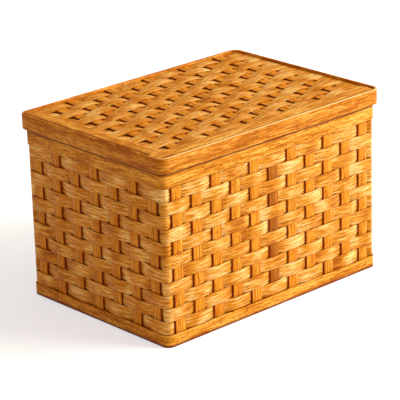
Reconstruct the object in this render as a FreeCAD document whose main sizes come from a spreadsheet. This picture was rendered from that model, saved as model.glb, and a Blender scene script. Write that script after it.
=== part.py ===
import FreeCAD, Part
import Sketcher
import math
import os

# A rectangular box plain-woven from flat wood splints, with a woven lid in a deep bent-wood rim.
# Millimetres. The origin is at the middle of the footprint, X runs along the long side, the
# front is at -Y and Z is up.

doc = FreeCAD.newDocument("woven_splint_box")
sheet = doc.addObject("Spreadsheet::Sheet", "Sizes")
derived = doc.addObject("App::VarSet", "Derived")

driving_sizes = (
    ("lid_length", 360.0, "lid rim outside, along X"),
    ("lid_width", 256.0, "lid rim outside, along Y"),
    ("lid_corner_radius", 12.0, "lid rim outside, in plan"),
    ("rim_height", 19.4, "depth of the lid's rim"),
    ("rim_thickness", 3.0, "bent wood of the lid's rim"),
    ("rim_chamfer", 1.0, "broken edges of the lid's rim"),
    ("lid_fit", 1.2, "play between the rim and the box's mouth, each side"),
    ("lid_rest_gap", 0.3, "ledge above the mouth"),
    ("ledge_height", 6.0, "hoop that carries the woven panel"),
    ("ledge_thickness", 3.0, "hoop that carries the woven panel"),
    ("panel_recess", 2.0, "rim's top above the highest splint"),
    ("lid_splint_thickness", 1.2, "splints of the lid"),
    ("cross_count", 10, "splints across the lid"),
    ("cross_width", 15.6, "width of a cross splint"),
    ("cross_left_margin", 41.0, "lid's left edge to the first cross splint"),
    ("cross_right_margin", 28.0, "lid's right edge to the last cross splint"),
    ("long_count", 14, "splints along the lid"),
    ("long_gap", 0.4, "gap between long splints"),
    ("panel_rear_gap", 3.3, "rim to the first long splint"),
    ("panel_end_gap", 0.6, "splint ends to the rim"),
    ("end_flat", 7.0, "flat right-hand end of a long splint, on the ledge"),
    ("front_border_width", 21.0, "flat strip along the lid's front"),
    ("left_border_width", 19.0, "flat strip along the lid's left side"),
    ("border_thickness", 2.2, "flat strips"),
    ("border_right_gap", 5.0, "front strip's right end to the rim"),
    ("body_corner_radius", 9.5, "bands' outside, in plan"),
    ("inner_corner_radius", 6.0, "inner bands' outside, in plan"),
    ("band_thickness", 2.4, "bent wood of the four bands"),
    ("band_chamfer", 0.6, "broken outer edges of the bands"),
    ("bottom_band_height", 15.2, "band that the box stands on"),
    ("top_band_height", 28.0, "band round the mouth"),
    ("base_thickness", 4.0, "board that closes the bottom"),
    ("base_lift", 1.5, "board's underside above the floor"),
    ("stake_width", 15.6, "upright splints"),
    ("stake_thickness", 1.4, "upright splints"),
    ("stake_end_gap", 0.6, "stake ends inside the bands' edges"),
    ("long_side_stakes", 11, "stakes on the front and on the back"),
    ("short_side_stakes", 7, "stakes on the left and on the right"),
    ("long_side_corner", 14.5, "box corner to the nearest stake edge, front and back"),
    ("short_side_corner", 13.0, "box corner to the nearest stake edge, left and right"),
    ("weaver_count", 11, "rows of weaving"),
    ("weaver_width", 16.1, "splints that go round"),
    ("weaver_thickness", 1.2, "splints that go round"),
    ("row_gap", 0.15, "gap between rows"),
    ("weave_gap", 0.1, "play between splints that press on each other"),
    ("corner_depth", 2.0, "middle of a weaver below the bands' face at a corner"),
    ("corner_bends", 3, "short flats that a weaver's corner is bent in"),
    ("lap_slot_width", 0.4, "line where a weaver's outer end stops"),
    ("lap_slot_depth", 0.6, "how far that line goes into the weaver"),
    ("lap_shift", 6.5, "that line to the rear of the middle of its stake"),
)
for line, (name, number, note) in enumerate(driving_sizes, start=1):
    sheet.set(f"A{line}", name)
    sheet.set(f"B{line}", str(number))
    sheet.set(f"C{line}", note)
    sheet.setAlias(f"B{line}", name)
doc.recompute()

# Sizes that follow from the driving ones. A depth is measured inwards from the bands' outer face.
derived_sizes = (
    ("body_length", "Sizes.lid_length - 2 * (Sizes.rim_thickness + Sizes.lid_fit)"),
    ("body_width", "Sizes.lid_width - 2 * (Sizes.rim_thickness + Sizes.lid_fit)"),
    ("stake_depth", "Sizes.band_thickness + Sizes.weave_gap"),
    ("stake_middle", "Derived.stake_depth + Sizes.stake_thickness / 2"),
    ("inner_band_depth", "Derived.stake_depth + Sizes.stake_thickness + Sizes.weave_gap"),
    ("weave_step", "(Sizes.stake_thickness + Sizes.weaver_thickness) / 2 + Sizes.weave_gap"),
    ("long_side_pitch", "(Derived.body_length - 2 * Sizes.long_side_corner - Sizes.stake_width)"
                        " / (Sizes.long_side_stakes - 1)"),
    ("short_side_pitch", "(Derived.body_width - 2 * Sizes.short_side_corner - Sizes.stake_width)"
                         " / (Sizes.short_side_stakes - 1)"),
    ("lap_place", "Derived.short_side_pitch * ((Sizes.short_side_stakes - 1) / 2 - 1)"
                  " + Sizes.lap_shift"),
    ("row_pitch", "Sizes.weaver_width + Sizes.row_gap"),
    ("weave_top", "Sizes.bottom_band_height + Sizes.row_gap"
                  " + Sizes.weaver_count * Derived.row_pitch"),
    ("body_top", "Derived.weave_top + Sizes.top_band_height"),
    ("base_top", "Sizes.base_lift + Sizes.base_thickness"),
    ("ledge_bottom", "Derived.body_top + Sizes.lid_rest_gap"),
    ("ledge_top", "Derived.ledge_bottom + Sizes.ledge_height"),
    ("panel_middle", "Derived.ledge_top + Sizes.weave_gap + Sizes.lid_splint_thickness / 2"),
    ("lid_step", "Sizes.lid_splint_thickness + Sizes.weave_gap"),
    ("cross_pitch", "(Sizes.lid_length - Sizes.cross_left_margin - Sizes.cross_right_margin"
                    " - Sizes.cross_width) / (Sizes.cross_count - 1)"),
    ("total_height", "Derived.panel_middle + Derived.lid_step"
                     " + Sizes.lid_splint_thickness / 2 + Sizes.panel_recess"),
    ("rim_bottom", "Derived.total_height - Sizes.rim_height"),
    ("cavity_length", "Sizes.lid_length - 2 * Sizes.rim_thickness"),
    ("cavity_width", "Sizes.lid_width - 2 * Sizes.rim_thickness"),
    ("long_pitch", "(Derived.cavity_width - Sizes.panel_rear_gap - Sizes.front_border_width"
                   " - Sizes.panel_end_gap) / Sizes.long_count"),
    ("border_bottom", "Derived.panel_middle + Sizes.lid_splint_thickness / 2 + Sizes.weave_gap"),
)
for name, formula in derived_sizes:
    derived.addProperty("App::PropertyFloat", name)
    derived.setExpression(name, formula)
    doc.recompute()


def size(name):
    owner = derived if name in derived.PropertiesList else sheet
    return float(getattr(owner, name))


# Bent-wood hoops: a padded ring between two rounded rectangles, with its edges broken.

def add_rounded_rectangle(sketch, prefix, length, width, radius):
    half_length = derived.evalExpression(length) / 2
    half_width = derived.evalExpression(width) / 2
    corner = derived.evalExpression(radius)
    x_flat = half_length - corner
    y_flat = half_width - corner
    up = FreeCAD.Vector(0, 0, 1)
    right_angle = math.pi / 2
    first = sketch.GeometryCount
    sides = (
        ((-x_flat, -half_width), (x_flat, -half_width), (x_flat, -y_flat)),
        ((half_length, -y_flat), (half_length, y_flat), (x_flat, y_flat)),
        ((x_flat, half_width), (-x_flat, half_width), (-x_flat, y_flat)),
        ((-half_length, y_flat), (-half_length, -y_flat), (-x_flat, -y_flat)),
    )
    for turn, (start, end, centre) in enumerate(sides, start=-1):
        line = Part.LineSegment(FreeCAD.Vector(*start, 0), FreeCAD.Vector(*end, 0))
        circle = Part.Circle(FreeCAD.Vector(*centre, 0), up, corner)
        arc = Part.ArcOfCircle(circle, turn * right_angle, (turn + 1) * right_angle)
        sketch.addGeometry(line, False)
        sketch.addGeometry(arc, False)
    for step in range(8):
        here = first + step
        following = first + (step + 1) % 8
        sketch.addConstraint(Sketcher.Constraint("Tangent", here, 2, following, 1))
    bottom, right, top, left = first, first + 2, first + 4, first + 6
    for side in (bottom, top):
        sketch.addConstraint(Sketcher.Constraint("Horizontal", side))
    for side in (right, left):
        sketch.addConstraint(Sketcher.Constraint("Vertical", side))
    for arc in (3, 5, 7):
        sketch.addConstraint(Sketcher.Constraint("Equal", first + 1, first + arc))
    sketch.addConstraint(Sketcher.Constraint("Symmetric", left, 1, right, 1, -1, 1))
    driven = (
        ("length", length, Sketcher.Constraint("DistanceX", left, 1, right, 1, 2 * half_length)),
        ("width", width, Sketcher.Constraint("DistanceY", bottom, 1, top, 1, 2 * half_width)),
        ("radius", radius, Sketcher.Constraint("Radius", first + 1, corner)),
    )
    for word, formula, constraint in driven:
        index = sketch.addConstraint(constraint)
        sketch.renameConstraint(index, f"{prefix}_{word}")
        sketch.setExpression(f"Constraints.{prefix}_{word}", formula)


def make_body(label):
    body = doc.addObject("PartDesign::Body", label)
    body.Label = label
    return body


def plan_sketch(body, name):
    sketch = body.newObject("Sketcher::SketchObject", name)
    plane = next(item for item in body.Origin.OriginFeatures if item.Role == "XY_Plane")
    sketch.AttachmentSupport = [(plane, "")]
    sketch.MapMode = "FlatFace"
    return sketch


def edge_names(shape, level, outside):
    """Names of the edges that bound the flat ring face at one height, outside or inside."""
    level_tolerance = 1e-6
    flat = next(face for face in shape.Faces
                if face.BoundBox.ZLength < level_tolerance
                and abs(face.BoundBox.ZMin - level) < level_tolerance)
    wires = [wire for wire in flat.Wires if wire.isSame(flat.OuterWire) == outside]
    chosen = [edge for wire in wires for edge in wire.Edges]
    return [f"Edge{number}" for number, edge in enumerate(shape.Edges, start=1)
            if any(edge.isSame(other) for other in chosen)]


def make_hoop(label, length, width, radius, thickness, height, bottom):
    body = make_body(label)
    sketch = plan_sketch(body, f"{label}_plan")
    add_rounded_rectangle(sketch, "outer", length, width, radius)
    add_rounded_rectangle(sketch, "inner", f"{length} - 2 * {thickness}",
                          f"{width} - 2 * {thickness}", f"{radius} - {thickness}")
    pad = body.newObject("PartDesign::Pad", f"{label}_pad")
    pad.Profile = sketch
    pad.setExpression("Length", height)
    body.setExpression("Placement.Base.z", bottom)
    doc.recompute()
    return body


def break_edges(body, formula, rings):
    """Chamfers the edges of a hoop. A ring is (height, outside)."""
    base = body.Tip
    names = [name for level, outside in rings
             for name in edge_names(base.Shape, level, outside)]
    chamfer = body.newObject("PartDesign::Chamfer", f"{body.Label}_edges")
    chamfer.Base = (base, names)
    chamfer.setExpression("Size", formula)
    doc.recompute()


bottom_outer_band = make_hoop(
    "bottom_outer_band", "Derived.body_length", "Derived.body_width",
    "Sizes.body_corner_radius", "Sizes.band_thickness", "Sizes.bottom_band_height", "0")
break_edges(bottom_outer_band, "Sizes.band_chamfer",
            ((size("bottom_band_height"), True),))

top_outer_band = make_hoop(
    "top_outer_band", "Derived.body_length", "Derived.body_width",
    "Sizes.body_corner_radius", "Sizes.band_thickness", "Sizes.top_band_height",
    "Derived.weave_top")
break_edges(top_outer_band, "Sizes.band_chamfer", ((0.0, True),))

inner_length = "(Derived.body_length - 2 * Derived.inner_band_depth)"
inner_width = "(Derived.body_width - 2 * Derived.inner_band_depth)"
bottom_inner_band = make_hoop(
    "bottom_inner_band", inner_length, inner_width, "Sizes.inner_corner_radius",
    "Sizes.band_thickness", "Sizes.bottom_band_height - Derived.base_top - Sizes.weave_gap",
    "Derived.base_top + Sizes.weave_gap")

top_inner_band = make_hoop(
    "top_inner_band", inner_length, inner_width, "Sizes.inner_corner_radius",
    "Sizes.band_thickness", "Sizes.top_band_height", "Derived.weave_top")

lid_rim = make_hoop(
    "lid_rim", "Sizes.lid_length", "Sizes.lid_width", "Sizes.lid_corner_radius",
    "Sizes.rim_thickness", "Sizes.rim_height", "Derived.rim_bottom")
break_edges(lid_rim, "Sizes.rim_chamfer",
            ((0.0, True), (size("rim_height"), True), (size("rim_height"), False)))

lid_ledge = make_hoop(
    "lid_ledge", "Derived.cavity_length", "Derived.cavity_width",
    "(Sizes.lid_corner_radius - Sizes.rim_thickness)", "Sizes.ledge_thickness",
    "Sizes.ledge_height", "Derived.ledge_bottom")

# The base board lies inside the stakes, under the bottom inner band.

base_board = make_body("base_board")
base_plan = plan_sketch(base_board, "base_board_plan")
add_rounded_rectangle(base_plan, "board", inner_length, inner_width, "Sizes.inner_corner_radius")
base_pad = base_board.newObject("PartDesign::Pad", "base_board_pad")
base_pad.Profile = base_plan
base_pad.setExpression("Length", "Sizes.base_thickness")
base_board.setExpression("Placement.Base.z", "Sizes.base_lift")

# Stakes: straight upright splints, evenly spaced along each side between the bands.

def make_stakes(label, along_x, count_name, pitch_name, sign):
    """A row of stakes on one side. sign is -1 for the front or left and +1 for the others."""
    count = int(size(count_name))
    width = "Derived.body_width" if along_x else "Derived.body_length"
    middle = f"{sign} * ({width} / 2 - Derived.stake_middle) - Sizes.stake_thickness / 2"
    stakes = []
    for index in range(count):
        stake = doc.addObject("Part::Box", f"{label}_{index + 1:02d}")
        start = (f"({index} - (Sizes.{count_name} - 1) / 2) * Derived.{pitch_name}"
                 " - Sizes.stake_width / 2")
        wide, thin = ("Length", "Width") if along_x else ("Width", "Length")
        stake.setExpression(wide, "Sizes.stake_width")
        stake.setExpression(thin, "Sizes.stake_thickness")
        stake.setExpression("Height", "Derived.body_top - 2 * Sizes.stake_end_gap")
        stake.setExpression("Placement.Base.x", start if along_x else middle)
        stake.setExpression("Placement.Base.y", middle if along_x else start)
        stake.setExpression("Placement.Base.z", "Sizes.stake_end_gap")
        stakes.append(stake)
    group = doc.addObject("Part::Compound", label)
    group.Label = label
    group.Links = stakes
    return group


stake_groups = [
    make_stakes("front_stakes", True, "long_side_stakes", "long_side_pitch", -1),
    make_stakes("back_stakes", True, "long_side_stakes", "long_side_pitch", 1),
    make_stakes("left_stakes", False, "short_side_stakes", "short_side_pitch", -1),
    make_stakes("right_stakes", False, "short_side_stakes", "short_side_pitch", 1),
]

# Weavers: each row is a closed hoop that goes over one stake and under the next. At a corner it
# stays out at the bands' face and dives only beside the stake. Its ends are lapped on the left.

def hoop_sides():
    """Start corner, direction, inward direction, length, stake count and pitch of each side."""
    half_length = size("body_length") / 2
    half_width = size("body_width") / 2
    long_side = (2 * half_length, int(size("long_side_stakes")), size("long_side_pitch"))
    short_side = (2 * half_width, int(size("short_side_stakes")), size("short_side_pitch"))
    return (
        ((-half_length, -half_width), (1, 0), (0, 1)) + long_side,
        ((half_length, -half_width), (0, 1), (-1, 0)) + short_side,
        ((half_length, half_width), (-1, 0), (0, -1)) + long_side,
        ((-half_length, half_width), (0, -1), (1, 0)) + short_side,
    )


def weaver_loop(parity, outward):
    """One face of a weaver as a closed outline, shifted outwards from the weaver's middle."""
    corner_radius = size("body_corner_radius")
    bend_radius = corner_radius - size("corner_depth") + outward
    bends = int(size("corner_bends"))
    half_stake = size("stake_width") / 2
    points = []
    stake_number = 0
    for corner, along, inward, length, count, pitch in hoop_sides():

        def place(distance, depth):
            return FreeCAD.Vector(corner[0] + along[0] * distance + inward[0] * depth,
                                  corner[1] + along[1] * distance + inward[1] * depth, 0)

        for bend in range(bends + 1):
            angle = math.pi / 2 * bend / bends
            points.append(place(corner_radius - bend_radius * math.cos(angle),
                                corner_radius - bend_radius * math.sin(angle)))
        for index in range(count):
            side = 1 if (stake_number + parity) % 2 == 0 else -1
            middle = length / 2 + (index - (count - 1) / 2) * pitch
            depth = size("stake_middle") - side * size("weave_step") - outward
            points.append(place(middle - half_stake, depth))
            points.append(place(middle + half_stake, depth))
            stake_number += 1
    return Part.Face(Part.makePolygon(points + points[:1]))


def lap_slot(parity):
    """The line where the weaver's outer end stops, over the second stake from the rear, left."""
    side = 1 if parity == 0 else -1
    face_depth = size("stake_middle") - side * size("weave_step") - size("weaver_thickness") / 2
    left = size("body_length") / -2 + face_depth - size("weaver_thickness")
    depth = size("lap_slot_depth") + size("weaver_thickness")
    return Part.makePlane(depth, size("lap_slot_width"),
                          FreeCAD.Vector(left, size("lap_place"), 0))


def weaver_profile(parity):
    half = size("weaver_thickness") / 2
    ring = weaver_loop(parity, half).cut(weaver_loop(parity, -half))
    profile = doc.addObject("Part::Feature", f"weaver_profile_{('even', 'odd')[parity]}")
    profile.Shape = ring.cut(lap_slot(parity)).Faces[0]
    return profile


weaver_profiles = [weaver_profile(0), weaver_profile(1)]
weavers = []
for row in range(1, int(size("weaver_count")) + 1):
    weaver = doc.addObject("Part::Extrusion", f"weaver_{row:02d}")
    weaver.Label = f"weaver_{row:02d}"
    weaver.Base = weaver_profiles[row % 2]
    weaver.DirMode = "Custom"
    weaver.Dir = FreeCAD.Vector(0, 0, 1)
    weaver.Solid = True
    weaver.setExpression("LengthFwd", "Sizes.weaver_width")
    weaver.setExpression("Placement.Base.z", "Sizes.bottom_band_height + Sizes.row_gap"
                                             f" + {row - 1} * Derived.row_pitch")
    weavers.append(weaver)

# Lid panel: straight cross splints, and long splints that go over and under them.

cross_splints = []
for index in range(int(size("cross_count"))):
    splint = doc.addObject("Part::Box", f"lid_cross_splint_{index + 1:02d}")
    splint.Label = f"lid_cross_splint_{index + 1:02d}"
    splint.setExpression("Length", "Sizes.cross_width")
    splint.setExpression("Width", "Derived.cavity_width - 2 * Sizes.panel_end_gap")
    splint.setExpression("Height", "Sizes.lid_splint_thickness")
    splint.setExpression("Placement.Base.x", "Sizes.cross_left_margin - Sizes.lid_length / 2"
                                             f" + {index} * Derived.cross_pitch")
    splint.setExpression("Placement.Base.y", "Sizes.panel_end_gap - Derived.cavity_width / 2")
    splint.setExpression("Placement.Base.z", "Derived.panel_middle"
                                             " - Sizes.lid_splint_thickness / 2")
    cross_splints.append(splint)


def long_splint_points(parity, upward):
    """One face of a long splint, from left to right, shifted up from the splint's middle."""
    half_cavity = size("cavity_length") / 2
    half_cross = size("cross_width") / 2
    first_middle = size("cross_left_margin") - size("lid_length") / 2 + half_cross
    level = size("panel_middle") + upward
    points = [FreeCAD.Vector(-half_cavity, 0, level),
              FreeCAD.Vector(-half_cavity + size("left_border_width"), 0, level)]
    for index in range(int(size("cross_count"))):
        side = 1 if (index + parity) % 2 else -1
        middle = first_middle + index * size("cross_pitch")
        height = level + side * size("lid_step")
        points.append(FreeCAD.Vector(middle - half_cross, 0, height))
        points.append(FreeCAD.Vector(middle + half_cross, 0, height))
    points.append(FreeCAD.Vector(half_cavity - size("end_flat"), 0, level))
    points.append(FreeCAD.Vector(half_cavity, 0, level))
    return points


def long_splint_profile(parity):
    half = size("lid_splint_thickness") / 2
    upper = long_splint_points(parity, half)
    lower = long_splint_points(parity, -half)
    profile = doc.addObject("Part::Feature", f"long_splint_profile_{('even', 'odd')[parity]}")
    profile.Shape = Part.Face(Part.makePolygon(upper + lower[::-1] + upper[:1]))
    return profile


# What lies in the rim is trimmed to the rim's rounded inside.

rim_inside = make_body("rim_inside")
inside_plan = plan_sketch(rim_inside, "rim_inside_plan")
add_rounded_rectangle(inside_plan, "inside", "Derived.cavity_length - 2 * Sizes.panel_end_gap",
                      "Derived.cavity_width - 2 * Sizes.panel_end_gap",
                      "Sizes.lid_corner_radius - Sizes.rim_thickness")
inside_pad = rim_inside.newObject("PartDesign::Pad", "rim_inside_pad")
inside_pad.Profile = inside_plan
inside_pad.setExpression("Length", "Derived.total_height")


def trim_to_rim(blank, label):
    trimmed = doc.addObject("Part::Common", label)
    trimmed.Label = label
    trimmed.Base = blank
    trimmed.Tool = rim_inside
    return trimmed


long_profiles = [long_splint_profile(0), long_splint_profile(1)]
long_splints = []
for row in range(1, int(size("long_count")) + 1):
    blank = doc.addObject("Part::Extrusion", f"long_splint_blank_{row:02d}")
    blank.Base = long_profiles[row % 2]
    blank.DirMode = "Custom"
    blank.Dir = FreeCAD.Vector(0, 1, 0)
    blank.Solid = True
    blank.setExpression("LengthFwd", "Derived.long_pitch - Sizes.long_gap")
    blank.setExpression("Placement.Base.y", "Derived.cavity_width / 2 - Sizes.panel_rear_gap"
                                            f" - {row} * Derived.long_pitch + Sizes.long_gap")
    long_splints.append(trim_to_rim(blank, f"lid_long_splint_{row:02d}"))

# Border strips: flat strips over the splint ends, along the front and the left of the lid.

front_blank = doc.addObject("Part::Box", "front_border_blank")
front_blank.setExpression("Length", "Derived.cavity_length - Sizes.border_right_gap")
front_blank.setExpression("Width", "Sizes.front_border_width + Sizes.panel_end_gap")
front_blank.setExpression("Placement.Base.y", "Derived.cavity_width / -2")

left_blank = doc.addObject("Part::Box", "left_border_blank")
left_blank.setExpression("Length", "Sizes.left_border_width")
left_blank.setExpression("Width", "Derived.cavity_width - Sizes.panel_end_gap"
                                  " - Sizes.front_border_width - Sizes.long_gap")
left_blank.setExpression("Placement.Base.y", "Sizes.panel_end_gap + Sizes.front_border_width"
                                             " + Sizes.long_gap - Derived.cavity_width / 2")
for blank in (front_blank, left_blank):
    blank.setExpression("Height", "Sizes.border_thickness")
    blank.setExpression("Placement.Base.x", "Derived.cavity_length / -2")
    blank.setExpression("Placement.Base.z", "Derived.border_bottom")
front_border = trim_to_rim(front_blank, "lid_front_border")
left_border = trim_to_rim(left_blank, "lid_left_border")

doc.recompute()

# Every object has to be sound before anything is written.

nodes = [base_board, bottom_outer_band, bottom_inner_band, top_outer_band, top_inner_band]
nodes += stake_groups + weavers
nodes += [lid_rim, lid_ledge, front_border, left_border] + cross_splints + long_splints

for item in doc.Objects:
    if "Invalid" in item.State or "Error" in item.State:
        raise RuntimeError(f"{item.Label} failed to build: {item.State}")
for node in nodes:
    if node.Shape.isNull() or not node.Shape.isValid() or not node.Shape.Solids:
        raise RuntimeError(f"{node.Label} has no sound solid")

os.makedirs("parts", exist_ok=True)
for node in nodes:
    node.Shape.exportStep(f"parts/{node.Label}.step")
print(f"{len(nodes)} sub-parts, total height {size('total_height'):.1f} mm")
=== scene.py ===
import math
import random

import bpy
from mathutils import Matrix, Vector


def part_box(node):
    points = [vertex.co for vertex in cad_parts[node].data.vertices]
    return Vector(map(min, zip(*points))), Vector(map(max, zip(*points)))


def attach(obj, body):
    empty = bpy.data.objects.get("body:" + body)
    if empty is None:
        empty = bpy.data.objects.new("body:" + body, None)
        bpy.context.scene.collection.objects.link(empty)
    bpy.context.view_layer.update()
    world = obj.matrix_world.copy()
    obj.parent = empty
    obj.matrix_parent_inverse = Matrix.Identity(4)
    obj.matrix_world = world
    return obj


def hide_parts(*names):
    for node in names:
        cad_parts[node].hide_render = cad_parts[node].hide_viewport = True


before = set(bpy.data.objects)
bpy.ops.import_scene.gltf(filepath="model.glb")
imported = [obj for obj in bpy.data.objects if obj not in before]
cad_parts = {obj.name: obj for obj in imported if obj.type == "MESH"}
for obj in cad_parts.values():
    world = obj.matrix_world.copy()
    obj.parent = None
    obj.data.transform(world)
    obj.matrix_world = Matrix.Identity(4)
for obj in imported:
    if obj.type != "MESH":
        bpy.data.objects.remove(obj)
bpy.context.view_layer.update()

# The bottom band. A strip of ash, steamed and bent round the foot of the box, on which the box
# stands. Its ends meet on the left side, over the second stake from the rear.

band_low, band_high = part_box("bottom_outer_band")
band_thickness = 0.0024
band_corner = 0.0095
band_arris = 0.0007
band_steps = 720
band_rows = 4
lap_place = 0.0752
joint_gap = 0.0002


def hoop_route(length, width, corner, joint):
    """The line of a hoop seen from above, as a function of the distance along it.

    It starts at its joint, so far to the rear of the left side's middle along the hoop, and runs
    counter-clockwise, by the front. It gives the point, the outward direction, the side's number,
    with 0 for the front, 1 for the right, 2 for the back and 3 for the left, and the distance from
    that side's middle. In a corner this is the nearer side.
    """
    sides = (
        ((-1, -1), (1, 0), (0, -1), length),
        ((1, -1), (0, 1), (1, 0), width),
        ((1, 1), (-1, 0), (0, 1), length),
        ((-1, 1), (0, -1), (-1, 0), width),
    )
    bend = math.pi / 2 * corner
    whole = 2 * (length + width) - 8 * corner + 4 * bend
    start = whole - bend - width / 2 + corner - joint

    def route(distance):
        rest = (distance + start) % whole
        for side, (sign, along, outward, span) in enumerate(sides):
            straight = span - 2 * corner
            first = Vector((sign[0] * length / 2, sign[1] * width / 2))
            step = Vector(along)
            out = Vector(outward)
            if rest <= straight:
                return first + step * (corner + rest), out, side, rest - straight / 2
            rest -= straight
            if rest <= bend:
                turn = rest / corner
                centre = first + step * (span - corner) - out * corner
                ray = out * math.cos(turn) + step * math.sin(turn)
                middle = straight / 2 + rest
                if turn > math.pi / 4:
                    side = (side + 1) % 4
                    middle = rest - bend - (sides[side][3] - 2 * corner) / 2
                return centre + ray * corner, ray, side, middle
            rest -= bend

        # Only rounding leads here, at the very end of the last bend.
        return route(-start)

    return route, whole


# Each splint's grain starts at its own place in this many metres of wood.
chance = random.Random(11)
grain_run = 40
arris_angle = math.radians(50)
smooth_angle = math.radians(40)


def bend_splint(name, length, width, steps, rows, thickness, arris_width, place):
    """A flat splint, bent so that its point (along, across) comes to lie at place(along, across).

    Its UV map carries the grain, in metres along the splint and across it from its middle.
    """
    bpy.ops.object.select_all(action="DESELECT")
    bpy.ops.mesh.primitive_grid_add(x_subdivisions=steps, y_subdivisions=rows, size=1)
    splint = bpy.context.object
    splint.name = name
    mesh = splint.data
    grain = mesh.uv_layers[0].data
    cut = chance.uniform(0, grain_run)
    for loop in mesh.loops:
        flat = mesh.vertices[loop.vertex_index].co
        grain[loop.index].uv = (cut + (flat.x + 0.5) * length, flat.y * width)
    for vertex in mesh.vertices:
        vertex.co = place((vertex.co.x + 0.5) * length, vertex.co.y * width)
    wood = splint.modifiers.new("wood", "SOLIDIFY")
    wood.thickness = thickness
    wood.offset = 0
    arris = splint.modifiers.new("arris", "BEVEL")
    arris.width = arris_width
    arris.segments = 2
    arris.angle_limit = arris_angle
    for modifier in (wood, arris):
        bpy.ops.object.modifier_apply(modifier=modifier.name)
    bpy.ops.object.shade_smooth_by_angle(angle=smooth_angle)
    return splint


def bend_band(name, low, high, corner, thickness, arris_width, joint):
    """A hoop of bent wood that fills the box from low to high."""
    route, whole = hoop_route(high.x - low.x, high.y - low.y, corner, joint)
    middle = (low.z + high.z) / 2

    def place(along, across):
        point, out, _, _ = route(along)
        point = point - out * thickness / 2
        return Vector((point.x, point.y, middle + across))

    return bend_splint(name, whole - joint_gap, high.z - low.z, band_steps, band_rows,
                       thickness, arris_width, place)


def colour(code):
    """A linear colour from an sRGB hex code."""
    parts = [int(code[place:place + 2], 16) / 255 for place in (1, 3, 5)]
    return [part / 12.92 if part <= 0.04045 else ((part + 0.055) / 1.055) ** 2.4
            for part in parts] + [1.0]


def add_node(tree, kind, settings=None, **inputs):
    """Adds a node with its settings and links.

    An input is named by its label, with _ for a space, or by its number after a _. It gets a
    value, or another node's output, which is linked to it.
    """
    node = tree.nodes.new(kind)
    for name, value in (settings or {}).items():
        setattr(node, name, value)
    for name, value in inputs.items():
        key = int(name[1:]) if name[0] == "_" and name[1:].isdigit() else name.replace("_", " ")
        if isinstance(value, bpy.types.NodeSocket):
            tree.links.new(value, node.inputs[key])
        else:
            node.inputs[key].default_value = value
    return node


# What colours the wood: open pores, the knife's lines, cut sides darkened partly as soaked varnish
# and partly as painted shade, painted shade in crevices and along lines, and a painted highlight
# on an edge.
pore_brown = "#5E2806"
knife_brown = "#7C3606"
soaked_and_shade_red = "#6A1600"
crevice_shade_red = "#6A1200"
highlight_cream = "#F4BC78"
pore_strength = 0.75
crevice_shade_strength = 0.95

# Noise lies mostly this near its middle value. A pore fades in over this much of it, and a
# groove of the knife from this level over this much.
noise_middle = 0.5
noise_spread = 0.12
pore_fade = 0.08
groove_level = 0.56
groove_fade = 0.10

# How near to a cut side its darkening is full, where the painted highlight begins and is full
# below the band's upper edge, and how far from the lid's front it ends and is full.
soaked_and_shade_full = 0.0001
highlight_from = 0.0009
highlight_full = 0.0007
highlight_end = 0.012
highlight_near = 0.004

# The varnish's gloss: its roughness over dense and open fibres, its coat under the painted
# highlight on an edge, the height of the fibres that show through it, and the tint that it gives
# the light.
dense_roughness = 0.30
open_roughness = 0.48
highlight_coat = 0.5
fibre_height = 0.0008
honey = "#FFE1A0"


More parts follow.
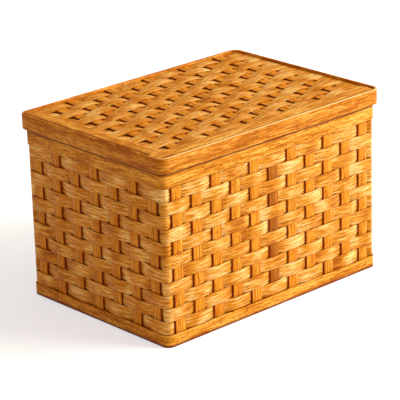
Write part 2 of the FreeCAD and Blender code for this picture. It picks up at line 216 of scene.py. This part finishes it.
def varnished_ash(name, dark, middle, pale, contrast=1.1, streak_width=0.0022,
                  patch_size=(0.090, 0.011), patch_share=0.14, pore_level=0.62, knife_lines=0.0,
                  relief=0.3, cut_width=0, cut_depth=0.0003, cut_share=0.85, line=None,
                  line_share=0.85, highlighted=None, reach=0.0028, open_from=0.40, open_to=0.10,
                  coat=0.06, solid=False):
    """Split ash under honey varnish: long fibres, broader streaks, short dark flecks of pore.

    The grain runs from a dark to a middle and a pale colour, and patches of patch_size vary it.
    cut_width is the width of a splint whose cut sides are darkened, partly as soaked varnish and
    partly as painted shade. line is a painted shade line along a piece: its place across the
    piece, half its width, and its colour. A pair of a band's width and the y of the lid's front
    gives that band's upper edge a painted highlight near the front, pale and under a glossier
    coat. Painted shade from ambient occlusion darkens the wood where other surfaces lie within
    reach. A splint carries its grain in its own UV map, in metres, and a solid board takes object
    coordinates.
    """
    wood = bpy.data.materials.new(name)
    wood.use_nodes = True
    tree = wood.node_tree
    tree.nodes.clear()
    if solid:
        grain = add_node(tree, "ShaderNodeTexCoord").outputs["Object"]
    else:
        grain = add_node(tree, "ShaderNodeUVMap").outputs["UV"]
    across = add_node(tree, "ShaderNodeSeparateXYZ", _0=grain).outputs["Y"]

    def figure(length, width, detail, waviness=0.0):
        """A figure of the grain, whose marks are about this long and this wide, in metres."""
        stretched = add_node(tree, "ShaderNodeMapping", Vector=grain,
                             Scale=(1 / length, 1 / width, 1 / width))
        return add_node(tree, "ShaderNodeTexNoise", Vector=stretched.outputs["Vector"], Scale=1.0,
                        Detail=detail, Distortion=waviness).outputs["Fac"]

    # Real fibres and pores are a few tenths of a millimetre wide or less, too fine to show, so
    # both are drawn about a millimetre wide. The streaks are growth rings at their real width.
    fibres = figure(length=0.014, width=0.0011, detail=3.0, waviness=0.2)
    streaks = figure(length=0.036, width=streak_width, detail=2.0, waviness=0.3)
    patches = figure(length=patch_size[0], width=patch_size[1], detail=1.0, waviness=0.3)
    pores = figure(length=0.0060, width=0.0012, detail=1.0)
    strands = add_node(tree, "ShaderNodeMix", Factor=0.5, A=fibres, B=streaks).outputs[0]
    mixed = add_node(tree, "ShaderNodeMix", Factor=patch_share, A=strands, B=patches).outputs[0]
    spread = noise_spread / contrast
    deep = add_node(tree, "ShaderNodeMapRange", Value=mixed, From_Min=noise_middle - spread,
                    From_Max=noise_middle, To_Min=1.0, To_Max=0.0).outputs[0]
    light = add_node(tree, "ShaderNodeMapRange", Value=mixed, From_Min=noise_middle,
                     From_Max=noise_middle + spread).outputs[0]
    fleck = add_node(tree, "ShaderNodeMapRange", Value=pores, From_Min=pore_level,
                     From_Max=pore_level + pore_fade, To_Max=pore_strength).outputs[0]
    layers = [(deep, dark), (light, pale), (fleck, pore_brown)]
    if knife_lines:
        grooves = figure(length=0.30, width=0.0016, detail=0.0)
        groove = add_node(tree, "ShaderNodeMapRange", Value=grooves, From_Min=groove_level,
                          From_Max=groove_level + groove_fade, To_Max=knife_lines).outputs[0]
        layers.append((groove, knife_brown))
    # Cut sides darkened, partly as soaked varnish and partly as painted shade.
    if cut_width:
        off = add_node(tree, "ShaderNodeMath", {"operation": "ABSOLUTE"}, _0=across).outputs[0]
        soaked_and_shade = add_node(tree, "ShaderNodeMapRange", Value=off,
                          From_Min=cut_width / 2 - cut_depth,
                          From_Max=cut_width / 2 - soaked_and_shade_full, To_Max=cut_share).outputs[0]
        layers.append((soaked_and_shade, soaked_and_shade_red))
    # Painted shade: a dark line along the piece where a shadow or a shaded groove lies.
    if line:
        line_place, half_width, line_colour = line
        drawn = add_node(tree, "ShaderNodeMath", {"operation": "COMPARE"}, _0=across,
                         _1=line_place, _2=half_width).outputs[0]
        drawn = add_node(tree, "ShaderNodeMath", {"operation": "MULTIPLY"}, _0=drawn,
                         _1=line_share).outputs[0]
        layers.append((drawn, line_colour))
    # A painted highlight, pale and under a glossier coat, on the band's upper edge near the lid's
    # front.
    if highlighted:
        band_width, front = highlighted
        edge = add_node(tree, "ShaderNodeMapRange", Value=across,
                        From_Min=band_width / 2 - highlight_from,
                        From_Max=band_width / 2 - highlight_full).outputs[0]
        spot = add_node(tree, "ShaderNodeTexCoord").outputs["Object"]
        depth = add_node(tree, "ShaderNodeSeparateXYZ", _0=spot).outputs["Y"]
        front_fade = add_node(tree, "ShaderNodeMapRange", Value=depth, From_Min=front + highlight_end,
                        From_Max=front + highlight_near).outputs[0]
        painted_highlight = add_node(tree, "ShaderNodeMath", {"operation": "MULTIPLY"}, _0=edge,
                        _1=front_fade).outputs[0]
        layers.append((painted_highlight, highlight_cream))
        coat = add_node(tree, "ShaderNodeMapRange", Value=painted_highlight, To_Min=coat,
                        To_Max=highlight_coat).outputs[0]
    # Painted shade: the colour darkens where ambient occlusion finds other surfaces near.
    near = add_node(tree, "ShaderNodeAmbientOcclusion", {"samples": 8}, Distance=reach)
    crevice_shade = add_node(tree, "ShaderNodeMapRange", Value=near.outputs["AO"], From_Min=open_from,
                       From_Max=open_to, To_Max=crevice_shade_strength).outputs[0]
    layers.append((crevice_shade, crevice_shade_red))

    # Each layer covers those below it by its share. Inputs 6 and 7 and output 2 are the colours.
    shade = colour(middle)
    for share, code in layers:
        shade = add_node(tree, "ShaderNodeMix", {"data_type": "RGBA"}, _0=share, _6=shade,
                         _7=colour(code)).outputs[2]
    gloss = add_node(tree, "ShaderNodeMapRange", Value=fibres, To_Min=dense_roughness,
                     To_Max=open_roughness)
    bump = add_node(tree, "ShaderNodeBump", Strength=relief, Distance=fibre_height,
                    Height=strands)
    surface = add_node(tree, "ShaderNodeBsdfPrincipled", Base_Color=shade,
                       Roughness=gloss.outputs[0], Normal=bump.outputs[0], IOR=1.5,
                       Specular_IOR_Level=0.10, Specular_Tint=colour(honey),
                       Coat_Weight=coat, Coat_Roughness=0.10)
    add_node(tree, "ShaderNodeOutputMaterial", Surface=surface.outputs[0])
    return wood


def dress(piece, wood, body, slot, *nodes):
    """Gives a piece its material and its place in the assembly."""
    piece.data.materials.clear()
    piece.data.materials.append(wood)
    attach(piece, body)
    if nodes:
        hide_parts(*nodes)


# Steamed ash under varnish: bold streaks from deep amber to straw, and a broad painted shade where
# the splints go in behind the band, under the lid's rim and along the floor.
bent_ash_colours = ("#B0620A", "#DA8E1E", "#FAC05C")
bent_ash_looks = {"contrast": 1.5, "streak_width": 0.0018, "patch_share": 0.25,
                  "pore_level": 0.60, "reach": 0.007, "open_from": 0.90, "open_to": 0.55}
band_wood = varnished_ash("varnished_bent_ash_band", *bent_ash_colours, **bent_ash_looks)
bottom_band = bend_band("bottom_band", band_low, band_high, band_corner, band_thickness,
                        band_arris, lap_place)
dress(bottom_band, band_wood, "box", "band", "bottom_outer_band")

# The top band. The same strip round the box's mouth. The lid's rim hides its upper half, and a
# painted shadow line lies just below its lower edge.

mouth_low, mouth_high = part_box("top_outer_band")
rim_low, rim_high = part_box("lid_rim")
# A painted shadow line below the rim's lower edge: its drop, its level on the band and half its
# width, and the dark brown of every painted shade line.
rim_shadow_drop = 0.0024
rim_shadow_level = rim_low.z - rim_shadow_drop - (mouth_low.z + mouth_high.z) / 2
rim_shadow_half_width = 0.0010
shade_line_brown = "#4A1604"

# The bottom band's ash, with a painted shadow line two millimetres wide just below the rim.
mouth_wood = varnished_ash("varnished_bent_ash_mouth", *bent_ash_colours,
                           line=(rim_shadow_level, rim_shadow_half_width, shade_line_brown), line_share=0.65,
                           **bent_ash_looks)
top_band = bend_band("top_band", mouth_low, mouth_high, band_corner, band_thickness,
                     band_arris, lap_place)
dress(top_band, mouth_wood, "box", "band", "top_outer_band")

# The hidden hoops and the board. Flat ash hoops clamp the stakes from inside, and a thin ash
# board closes the bottom. They show only when the lid is off.

# Sawn ash, seen on the inside alone: broader streaks, and a duller light brown than the splints.
inner_wood = varnished_ash("varnished_ash_board", "#A55A18", "#C27E30", "#DA9E4C",
                           streak_width=0.004, patch_share=0.25, solid=True)
for name, slot in (("base_board", "base_board"), ("bottom_inner_band", "band"),
                   ("top_inner_band", "band"), ("lid_ledge", "lid_rim")):
    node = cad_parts[name]
    node.data.materials.clear()
    node.data.materials.append(inner_wood)

# The stakes. Straight splints that stand between the bands, eleven on a long side and seven on a
# short one. The knife that split them left fine lines, which the varnish keeps.

stake_width = 0.0156
stake_thickness = 0.0014
stake_arris = 0.00025
stake_sway = 0.0003
stake_steps = 88
splint_rows = 2
# Half the width of the painted shadow line down each stake's edge.
stake_shadow_width = 0.0013
side_stakes = (11, 7, 11, 7)
row_count = 11
weaver_low, weaver_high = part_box("weaver_01")
top_row_low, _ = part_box("weaver_11")
row_pitch = (top_row_low.z - weaver_low.z) / (row_count - 1)
first_row = (weaver_low.z + weaver_high.z) / 2

# Split ash with fine knife lines along it, which catch the light. Each stake has a painted shadow,
# a dark red-brown line down the edge where the weavers' shadow falls, and its cut sides are
# darkened, partly as soaked varnish and partly as painted shade.
stake_looks = {"streak_width": 0.0016, "relief": 0.6, "knife_lines": 0.35,
               "cut_width": stake_width, "line": (stake_width / 2, stake_shadow_width, "#8C2600")}
stake_wood = varnished_ash("varnished_ash_stake", "#B8640A", "#DE8C16", "#F4B448", **stake_looks)

# The same from the tree's heartwood. The stake in the middle of the front looks redder and
# darker for it than its neighbours.
red_stake_wood = varnished_ash("varnished_ash_heartwood_stake", "#824406", "#A85E0C", "#C47C1E",
                               **stake_looks)


def make_stakes(node, side, count, first_index):
    """The stakes of one side, numbered as they are met on the way round the box.

    They sway a little, in behind a weaver that passes over them and out over one that passes
    behind.
    """
    low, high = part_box(node)
    across_x = side in (0, 2)
    span = (high.x - low.x) if across_x else (high.y - low.y)
    pitch = (span - stake_width) / (count - 1)
    forward = (1, 1, -1, -1)[side]
    out = (-1, 1, 1, -1)[side]
    middle = (low + high) / 2
    height = high.z - low.z
    for number in range(count):
        index = first_index + number
        centre = forward * (number - (count - 1) / 2) * pitch

        def place(along, across):
            level = low.z + along
            row = 1 + (level - first_row) / row_pitch
            woven = 0.5 < row < row_count + 0.5
            sway = -stake_sway * math.cos(math.pi * (index + row)) if woven else 0.0
            spot = centre - across
            if across_x:
                return Vector((spot, middle.y + out * sway, level))
            return Vector((middle.x + out * sway, spot, level))

        name = f"{node.removesuffix('s')}_{number + 1:02d}"
        stake = bend_splint(name, height, stake_width, stake_steps, splint_rows,
                            stake_thickness, stake_arris, place)
        red = node == "front_stakes" and number == count // 2
        dress(stake, red_stake_wood if red else stake_wood, "box", "stake_splint", node)


for side, node in enumerate(("front_stakes", "right_stakes", "back_stakes", "left_stakes")):
    make_stakes(node, side, side_stakes[side], sum(side_stakes[:side]))

# The weavers. Eleven flat splints, each woven once round the box, over one stake and under the
# next. Its two ends meet over or behind the second stake from the rear on the left side.

row_gap = 0.00002
end_gap = 0.0003
weaver_width = row_pitch - row_gap
weaver_thickness = 0.0012
weaver_arris = 0.00035
weaver_steps = 900
weave_out = 0.0017
weave_in = 0.0023
corner_swing = 0.0012
corner_from = 0.005
corner_ease = 0.0125
front_low, front_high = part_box("front_stakes")
left_low, left_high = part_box("left_stakes")
stake_line = (front_low.y + front_high.y) / 2 - band_low.y
front_pitch = (front_high.x - front_low.x - stake_width) / (side_stakes[0] - 1)
left_pitch = (left_high.y - left_low.y - stake_width) / (side_stakes[3] - 1)
side_pitches = (front_pitch, left_pitch, front_pitch, left_pitch)
box_length = band_high.x - band_low.x
box_width = band_high.y - band_low.y

# The palest and glossiest of the splints: cream and honey patches along each, and edges a little
# darker, partly soaked varnish and partly painted shade between the rows, so that every row reads
# on its own.
weaver_wood = varnished_ash("varnished_ash_weaver", "#AA5C0A", "#E09420", "#FFDC98",
                            contrast=1.2, patch_size=(0.040, 0.060), patch_share=0.32,
                            cut_width=weaver_width, cut_depth=0.0009, cut_share=0.5, coat=0.12)


def wave(turns):
    """The weave's wave: out over a stake at whole even turns, in behind one at odd turns."""
    height = math.cos(math.pi * turns)
    return height * (weave_out if height > 0 else weave_in)


def eased(share):
    """A share that is kept between 0 and 1, and leaves both ends gently."""
    share = min(1.0, max(0.0, share))
    return share * share * (3 - 2 * share)


def swing(distance, side, row):
    """How far a weaver stands out of the stakes' line, at a distance from its side's middle."""
    count = side_stakes[side]
    pitch = side_pitches[side]
    first_index = sum(side_stakes[:side])
    place = distance / pitch + (count - 1) / 2
    beyond = max(-place, place - (count - 1)) * pitch
    if beyond <= 0:
        return wave(place + first_index + row)
    end_stake = 0 if place < 0 else count - 1
    at_stake = wave(end_stake + first_index + row)
    return at_stake + (corner_swing - at_stake) * eased((beyond - corner_from) / corner_ease)


route, whole = hoop_route(box_length, box_width, band_corner, lap_place)
for row in range(1, row_count + 1):
    level = first_row + (row - 1) * row_pitch

    # One draw is passed over for each weaver, which keeps the grain of all that follows.
    chance.random()

    def place(along, across):
        point, out, side, distance = route(along)
        point = point - out * (stake_line - swing(distance, side, row))
        return Vector((point.x, point.y, level + across))

    name = f"weaver_{row:02d}"
    weaver = bend_splint(f"woven_{name}", whole - end_gap, weaver_width, weaver_steps,
                         splint_rows, weaver_thickness, weaver_arris, place)
    dress(weaver, weaver_wood, "box", "weaver_splint", name)

# The brads. Small brass pins with low domed heads, driven through the bottom band into the
# stakes, one at each stake.

brad_radius = 0.0008
brad_rise = 0.0007
brad_facets = 14
dome_share = 0.9
dome_angle = math.radians(50)

# Brass that the varnish has dulled: small brown specks with a soft glint, and no mirror.
brass = bpy.data.materials.new("lacquered_brass")
brass.use_nodes = True
tree = brass.node_tree
tree.nodes.clear()
surface = add_node(tree, "ShaderNodeBsdfPrincipled", Base_Color=colour("#9A5A1C"), Metallic=1.0,
                   Roughness=0.50)
add_node(tree, "ShaderNodeOutputMaterial", Surface=surface.outputs[0])
brad_spots = []
for side, count in enumerate(side_stakes):
    for number in range(count):
        brad_spots.append((side, (number - (count - 1) / 2) * side_pitches[side]))


def drive_brads(name, spots, level):
    """One domed head, half sunk in the band, modelled once and copied to each place.

    All of them are joined as one piece.
    """
    bpy.ops.object.select_all(action="DESELECT")
    bpy.ops.mesh.primitive_cylinder_add(vertices=brad_facets, radius=brad_radius,
                                        depth=2 * brad_rise)
    head = bpy.context.object
    head.name = name
    bpy.ops.object.mode_set(mode="EDIT")
    bpy.ops.mesh.select_all(action="DESELECT")
    bpy.ops.object.mode_set(mode="OBJECT")

    # The bevel rounds the rim of the outer face to a dome.
    for face in head.data.polygons:
        face.select = face.normal.z > 0.9
    bpy.ops.object.mode_set(mode="EDIT")
    bpy.ops.mesh.bevel(offset=brad_rise * dome_share, segments=3)
    bpy.ops.object.mode_set(mode="OBJECT")
    copies = []
    for side, distance in spots:
        angle = (0, math.pi / 2, math.pi, -math.pi / 2)[side]
        half = (box_width if side in (0, 2) else box_length) / 2
        turn = Matrix.Rotation(angle, 4, "Z") @ Matrix.Translation((distance, -half, level))
        copy = head.copy()
        copy.data = head.data.copy()
        bpy.context.scene.collection.objects.link(copy)
        copy.data.transform(turn @ Matrix.Rotation(math.pi / 2, 4, "X"))
        copies.append(copy)
    bpy.data.objects.remove(head)
    bpy.ops.object.select_all(action="DESELECT")
    for copy in copies:
        copy.select_set(True)
    bpy.context.view_layer.objects.active = copies[0]
    bpy.ops.object.join()
    row = bpy.context.object
    row.name = name
    bpy.ops.object.shade_smooth_by_angle(angle=dome_angle)
    dress(row, brass, "box", "band")


drive_brads("bottom_brads", brad_spots, (band_low.z + band_high.z) / 2)

# The lid's rim. A deep strip of ash bent round the lid, its upper edges rounded over, so that it
# caps the box's mouth like a tray. Its ends meet on the back, near the right corner.

rim_thickness = 0.003
rim_corner = 0.012
rim_arris = 0.0013
rim_joint = 0.44

# Steamed ash, a shade browner than the bands. At the front the upper edge carries a painted
# highlight, a thin pale line under a glossier coat. Painted shade darkens the foot of its inner
# face.
rim_wood = varnished_ash("varnished_bent_ash_rim", "#A6580A", "#CC7C18", "#EEB050",
                         contrast=1.4, streak_width=0.0018, patch_share=0.25, pore_level=0.61,
                         highlighted=(rim_high.z - rim_low.z, rim_low.y), open_from=0.22, open_to=0.02)
rim = bend_band("rim", rim_low, rim_high, rim_corner, rim_thickness, rim_arris, rim_joint)
dress(rim, rim_wood, "lid", "lid_rim", "lid_rim")

# The lid's cross splints. Ten straight ash splints from the front to the back, laid on the ledge
# inside the rim. The long splints are woven through them.

cross_count = 10
cross_swing = 0.0006
cross_arris = 0.00025
cross_steps = 100
# Half the width of the painted shade line down each cross splint's left edge.
cross_shade_width = 0.0016
long_count = 14
long_gap = 0.00005
first_cross_low, first_cross_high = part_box("lid_cross_splint_01")
last_cross_low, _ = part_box("lid_cross_splint_10")
cross_width = first_cross_high.x - first_cross_low.x
cross_pitch = (last_cross_low.x - first_cross_low.x) / (cross_count - 1)
lid_thickness = first_cross_high.z - first_cross_low.z
panel_level = (first_cross_low.z + first_cross_high.z) / 2
rear_low, rear_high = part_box("lid_long_splint_01")
fore_low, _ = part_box("lid_long_splint_14")
long_pitch = (rear_low.y - fore_low.y) / (long_count - 1)
first_long = (rear_low.y + rear_high.y) / 2

# Split ash in a plain amber, quieter than the splints over it, with a painted shade line, dark
# red-brown, down the left edge where the long splints dive under it, and cut sides darkened partly
# as soaked varnish, partly as painted shade.
cross_wood = varnished_ash("varnished_ash_cross_splint", "#B2600A", "#D48418", "#EEB04C",
                           cut_width=cross_width, line=(cross_width / 2, cross_shade_width, "#661600"))
for number in range(1, cross_count + 1):
    name = f"lid_cross_splint_{number:02d}"
    low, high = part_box(name)
    middle = (low + high) / 2

    def place(along, across):
        spot = low.y + along
        row = 1 + (first_long - spot) / long_pitch
        woven = 0.5 < row < long_count + 0.5
        sway = cross_swing * math.cos(math.pi * (row + number)) if woven else 0.0
        return Vector((middle.x - across, spot, panel_level + sway))

    splint = bend_splint(f"woven_{name}", high.y - low.y, cross_width, cross_steps, splint_rows,
                         lid_thickness, cross_arris, place)
    dress(splint, cross_wood, "lid", "lid_cross_splint", name)

# The lid's long splints. Fourteen splints woven over and under the cross splints. They dive under
# the left border and end on the ledge inside the rim at the right.

long_width = long_pitch - long_gap
long_arris = 0.0003
long_steps = 280
lid_out = 0.0014
lid_in = 0.0027
flat_end = 0.007
first_cross = first_cross_low.x + cross_width / 2
_, border_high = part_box("lid_left_border")

# Nearly as pale as the weavers, in cream and honey patches, with only a faint dark edge, partly
# soaked varnish and partly painted shade, where the splints lie close.
panel_wood = varnished_ash("varnished_ash_lid_splint", "#AA5C0A", "#E0901C", "#FFD88C",
                           contrast=1.2, patch_size=(0.040, 0.060), patch_share=0.28,
                           cut_width=long_width, cut_depth=0.0007, cut_share=0.35, coat=0.12)
for number in range(1, long_count + 1):
    name = f"lid_long_splint_{number:02d}"
    low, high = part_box(name)
    centre = first_long - (number - 1) * long_pitch
    flat_from = high.x - flat_end
    last_cross = first_cross + (cross_count - 1) * cross_pitch

    def place(along, across):
        spot = low.x + along
        turns = (spot - first_cross) / cross_pitch
        before = (spot - border_high.x) / (first_cross - border_high.x)
        after = (flat_from - spot) / (flat_from - last_cross)
        level = 1.0
        for share, end in ((before, 0), (after, cross_count - 1)):
            if share < 1:
                turns = end
                level = eased(share)
        rise = math.cos(math.pi * (turns + 1 + number))
        rise *= (lid_out if rise > 0 else lid_in) * level
        return Vector((spot, centre + across, panel_level + rise))

    splint = bend_splint(f"woven_{name}", high.x - low.x, long_width, long_steps, splint_rows,
                         lid_thickness, long_arris, place)
    dress(splint, panel_wood, "lid", "lid_long_splint", name)

# The border strips. Two flat strips glued over the splint ends, along the lid's front and along
# its left side. A dark line painted along the seam with the rim stands for the shade in the groove
# there.

border_arris = 0.0004
border_steps = 80
for name, along_x, seam, middle_code, pale_code in (
        ("lid_front_border", True, 0.0019, "#E4962C", "#FFD070"),
        ("lid_left_border", False, 0.0028, "#D88820", "#F8BE5C")):
    strip = name.removeprefix("lid_")
    low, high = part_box(name)
    middle = (low + high) / 2
    length = (high.x - low.x) if along_x else (high.y - low.y)
    width = (high.y - low.y) if along_x else (high.x - low.x)

    # Plain ash, brighter than the rim beside it, with a painted shade line along the seam on that
    # side.
    border_wood = varnished_ash(f"varnished_ash_{strip}", "#B0600C", middle_code, pale_code,
                                contrast=1.4, patch_share=0.25, pore_level=0.61,
                                line=(-width / 2, seam, shade_line_brown))

    def place(along, across):
        if along_x:
            return Vector((low.x + along, middle.y + across, middle.z))
        return Vector((middle.x + across, high.y - along, middle.z))

    border = bend_splint(f"flat_{strip}", length, width, border_steps, band_rows,
                         high.z - low.z, border_arris, place)
    dress(border, border_wood, "lid", "lid_border", name)

# The room. A white floor under a white sky, with a large soft lamp to the right and in front, a
# smaller one above it, and a dim warm light from all round.

bpy.ops.object.select_all(action="DESELECT")
bpy.ops.mesh.primitive_plane_add(size=24, location=(0, 0, 0))
floor = bpy.context.object
floor.name = "floor"

# Matt white paper, which takes the box's shadow. A glow that only the camera and glossy and
# clear surfaces see keeps it nearly white, and throws no more light on the box.
paper = bpy.data.materials.new("white_paper")
paper.use_nodes = True
tree = paper.node_tree
tree.nodes.clear()
matt = add_node(tree, "ShaderNodeBsdfDiffuse", Color=colour("#E7E7E7"))
glow = add_node(tree, "ShaderNodeEmission", Color=colour("#DCECFF"), Strength=0.6307)
dark = add_node(tree, "ShaderNodeEmission", Strength=0.0)
seen = add_node(tree, "ShaderNodeLightPath")
direct = add_node(tree, "ShaderNodeMath", {"operation": "MAXIMUM"},
                  _0=seen.outputs["Is Camera Ray"], _1=seen.outputs["Is Glossy Ray"])
direct = add_node(tree, "ShaderNodeMath", {"operation": "MAXIMUM"}, _0=direct.outputs[0],
                  _1=seen.outputs["Is Transmission Ray"])
glow_seen = add_node(tree, "ShaderNodeMixShader", _0=direct.outputs[0], _1=dark.outputs[0],
                     _2=glow.outputs[0])
both = add_node(tree, "ShaderNodeAddShader", _0=matt.outputs[0], _1=glow_seen.outputs[0])
add_node(tree, "ShaderNodeOutputMaterial", Surface=both.outputs[0])
floor.data.materials.append(paper)

world = bpy.data.worlds.new("studio")
bpy.context.scene.world = world
world.use_nodes = True
tree = world.node_tree
tree.nodes.clear()
seen = add_node(tree, "ShaderNodeLightPath")
warm = add_node(tree, "ShaderNodeBackground", Color=(1.0, 0.72, 0.37, 1.0), Strength=0.52)
white = add_node(tree, "ShaderNodeBackground", Color=(1.0, 1.0, 1.0, 1.0), Strength=1.0)
sky = add_node(tree, "ShaderNodeMixShader", _0=seen.outputs["Is Camera Ray"], _1=warm.outputs[0],
               _2=white.outputs[0])
add_node(tree, "ShaderNodeOutputWorld", Surface=sky.outputs[0])

lamp_tint = (1.0, 0.97, 0.90)
box_middle = Vector((0, 0, 0.12))


def hang_lamp(name, towards, distance, width, height, power):
    """A soft lamp in the given direction from the box, turned to face it."""
    lamp = bpy.data.lights.new(name, "AREA")
    lamp.shape = "RECTANGLE"
    lamp.size = width
    lamp.size_y = height
    lamp.energy = power
    lamp.color = lamp_tint
    holder = bpy.data.objects.new(name, lamp)
    bpy.context.scene.collection.objects.link(holder)
    direction = Vector(towards).normalized()
    holder.location = box_middle + direction * distance
    holder.rotation_euler = direction.to_track_quat("Z", "Y").to_euler()


hang_lamp("key_lamp", towards=(0.83, -0.56, 0.36), distance=2.4, width=2.3, height=1.3, power=53)
hang_lamp("upper_lamp", towards=(0.52, -0.64, 0.66), distance=2.5, width=1.4, height=0.7,
          power=36)

# The camera. A long lens at the photograph's place, about two and a half metres from the near
# corner, looking down on the lid at twenty degrees.

image_size = 400
focal_pixels = 2158.4
yaw, pitch, roll = (math.radians(angle) for angle in (42.306, 20.306, -1.840))
camera = bpy.data.cameras.new("camera")
camera.sensor_width = 36
camera.lens = focal_pixels / image_size * camera.sensor_width
viewpoint = bpy.data.objects.new("camera", camera)
bpy.context.scene.collection.objects.link(viewpoint)
viewpoint.location = (-1.6722, -1.8299, 1.0219)
turn = (Matrix.Rotation(-yaw, 3, "Z") @ Matrix.Rotation(math.pi / 2 - pitch, 3, "X")
        @ Matrix.Rotation(roll, 3, "Z"))
viewpoint.rotation_euler = turn.to_euler()
bpy.context.scene.camera = viewpoint
bpy.context.scene.view_settings.view_transform = "Standard"
